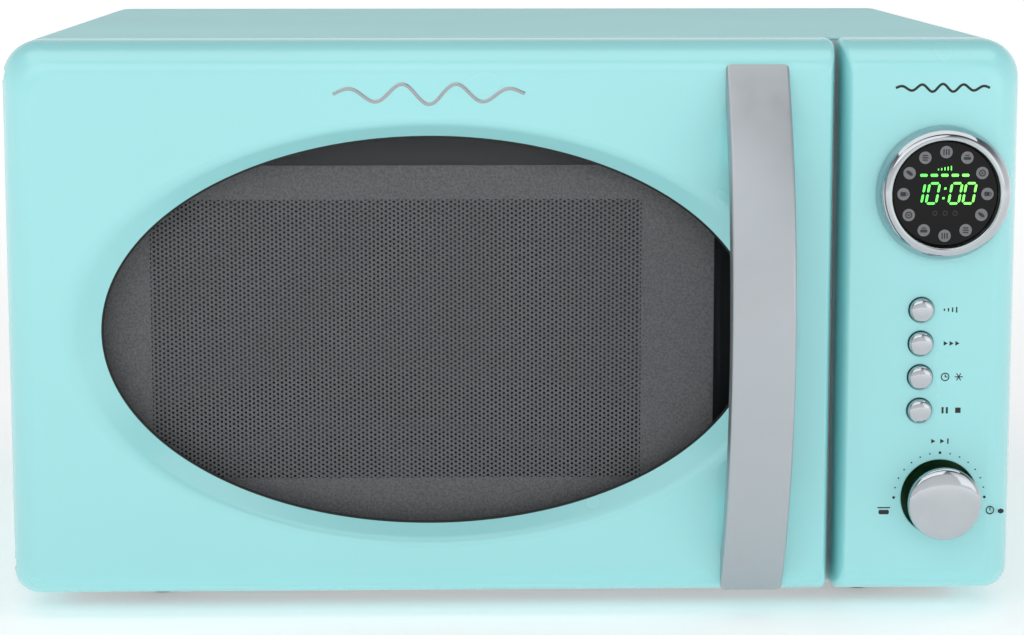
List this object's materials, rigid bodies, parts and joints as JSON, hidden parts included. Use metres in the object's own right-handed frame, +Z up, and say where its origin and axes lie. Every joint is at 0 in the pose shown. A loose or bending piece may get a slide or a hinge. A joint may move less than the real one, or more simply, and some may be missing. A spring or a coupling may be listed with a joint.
{
  "type": "microwave oven",
  "caption": "Retro countertop microwave oven with a side-hinged rounded door, oval window, bowed chrome bar handle, round display, push buttons and a dial",
  "frame": {"origin": "bottom centre of the whole oven's bounding box, on the surface that the feet stand on", "axes": "+Z up, the door and controls face -Y, +X to the right seen from the front"},
  "size_m": [0.447, 0.366, 0.256],
  "materials": {
    "aqua_paint": "gloss aqua powder paint on sheet steel",
    "aqua_moulding": "gloss aqua moulded ABS",
    "chrome_plate": "bright chrome plate",
    "zinc_steel": "zinc-plated sheet steel",
    "grey_paint": "satin grey enamel paint",
    "mica": "pressed mica sheet",
    "aluminium_sheet": "plain aluminium",
    "core_steel": "varnished laminations",
    "copper_winding": "enamelled copper wire",
    "black_plastic": "satin black moulding",
    "black_rubber": "moulded rubber",
    "grey_plastic": "grey moulding",
    "white_plastic": "natural white moulding",
    "lamp_glass": "clear bulb",
    "white_ceramic": "heat-proof lamp socket",
    "circuit_board": "solder-masked board",
    "tray_glass": "clear pressed glass",
    "tinted_window": "smoked glass",
    "black_lens": "gloss black lens",
    "clear_film": "clear film"
  },
  "bodies": {
    "root": {"outer_case": "aqua_paint", "base_plate": "zinc_steel", "rear_panel": "zinc_steel", "front_frame": "zinc_steel", "feet": "black_rubber", "case_screws": "zinc_steel", "oven_cavity": "grey_paint", "waveguide_cover": "mica", "waveguide": "zinc_steel", "magnetron": "zinc_steel", "magnetron_fins": "aluminium_sheet", "transformer_core": "core_steel", "transformer_windings": "copper_winding", "capacitor": "aluminium_sheet", "capacitor_clamp": "zinc_steel", "hv_diode": "black_plastic", "fan_shroud": "grey_plastic", "fan_motor": "core_steel", "cavity_lamp": "lamp_glass", "lamp_holder": "white_ceramic", "thermal_cutout": "black_plastic", "filter_board": "circuit_board", "latch_board": "white_plastic", "door_switches": "black_plastic", "turntable_motor": "zinc_steel", "control_panel": "aqua_moulding", "display_bezel": "chrome_plate", "display_lens": "black_lens", "display_module": "circuit_board", "control_board": "circuit_board", "board_screws": "zinc_steel", "tact_switches": "black_plastic", "encoder": "black_plastic", "cord_gland": "black_plastic", "hinge_brackets": "zinc_steel", "hinge_pins": "zinc_steel"},
    "door": {"door_frame": "aqua_moulding", "door_window": "tinted_window", "door_screen": "grey_paint", "door_film": "clear_film", "choke_cover": "black_plastic", "handle": "chrome_plate", "handle_blocks": "aqua_moulding", "handle_screws": "zinc_steel", "latch_spring": "zinc_steel"},
    "latch": {"door_latch": "white_plastic"},
    "coupler": {"turntable_shaft": "white_plastic", "turntable_coupler": "white_plastic"},
    "ring": {"roller_ring": "white_plastic"},
    "wheel_1": {"wheel_1": "white_plastic"},
    "wheel_2": {"wheel_2": "white_plastic"},
    "wheel_3": {"wheel_3": "white_plastic"},
    "tray": {"glass_tray": "tray_glass"},
    "button_1": {"button_1": "chrome_plate"},
    "button_2": {"button_2": "chrome_plate"},
    "button_3": {"button_3": "chrome_plate"},
    "button_4": {"button_4": "chrome_plate"},
    "dial_shaft": {"encoder_shaft": "zinc_steel"},
    "dial": {"knob": "chrome_plate"},
    "fan": {"fan_rotor": "grey_plastic"}
  },
  "joints": [
    {"name": "door_hinge", "type": "hinge", "parent": "root", "child": "door", "pos_m": [-0.2155, -0.1275, 0.132], "axis": [0, 0, -1], "range_deg": [0, 100]},
    {"name": "latch_slide", "type": "slide", "parent": "door", "child": "latch", "axis": [0, 0, 1], "range_m": [-0.004, 0], "stiffness_N_per_m": 60, "springref_m": -0.006, "deforming": ["latch_spring"]},
    {"name": "turntable_spin", "type": "hinge", "parent": "root", "child": "coupler", "pos_m": [-0.053, 0.028, 0.036], "axis": [0, 0, 1], "continuous": true},
    {"name": "ring_spin", "type": "hinge", "parent": "root", "child": "ring", "pos_m": [-0.053, 0.028, 0.0333], "axis": [0, 0, 1], "continuous": true},
    {"name": "wheel_1_spin", "type": "hinge", "parent": "ring", "child": "wheel_1", "pos_m": [0.0405, 0.028, 0.0333], "axis": [1, 0, 0], "continuous": true},
    {"name": "wheel_2_spin", "type": "hinge", "parent": "ring", "child": "wheel_2", "pos_m": [-0.09975, 0.10897, 0.0333], "axis": [-0.5, 0.866, 0], "continuous": true},
    {"name": "wheel_3_spin", "type": "hinge", "parent": "ring", "child": "wheel_3", "pos_m": [-0.09975, -0.05297, 0.0333], "axis": [-0.5, -0.866, 0], "continuous": true},
    {"name": "tray_lift", "type": "slide", "parent": "coupler", "child": "tray", "axis": [0, 0, 1], "range_m": [0, 0.03]},
    {"name": "button_1_press", "type": "slide", "parent": "root", "child": "button_1", "axis": [0, 1, 0], "range_m": [0, 0.001], "stiffness_N_per_m": 400},
    {"name": "button_2_press", "type": "slide", "parent": "root", "child": "button_2", "axis": [0, 1, 0], "range_m": [0, 0.001], "stiffness_N_per_m": 400},
    {"name": "button_3_press", "type": "slide", "parent": "root", "child": "button_3", "axis": [0, 1, 0], "range_m": [0, 0.001], "stiffness_N_per_m": 400},
    {"name": "button_4_press", "type": "slide", "parent": "root", "child": "button_4", "axis": [0, 1, 0], "range_m": [0, 0.001], "stiffness_N_per_m": 400},
    {"name": "dial_turn", "type": "hinge", "parent": "root", "child": "dial_shaft", "pos_m": [0.189, -0.145, 0.0537], "axis": [0, -1, 0], "continuous": true},
    {"name": "dial_push", "type": "slide", "parent": "dial_shaft", "child": "dial", "axis": [0, 1, 0], "range_m": [0, 0.0008], "stiffness_N_per_m": 600},
    {"name": "fan_spin", "type": "hinge", "parent": "root", "child": "fan", "pos_m": [0.15925, 0.14, 0.17], "axis": [0, 1, 0], "continuous": true}
  ],
  "couplings": [
    {"joint": "ring_spin", "follows": "turntable_spin", "ratio": 0.5},
    {"joint": "wheel_1_spin", "follows": "turntable_spin", "ratio": -5.8438},
    {"joint": "wheel_2_spin", "follows": "turntable_spin", "ratio": -5.8438},
    {"joint": "wheel_3_spin", "follows": "turntable_spin", "ratio": -5.8438}
  ]
}
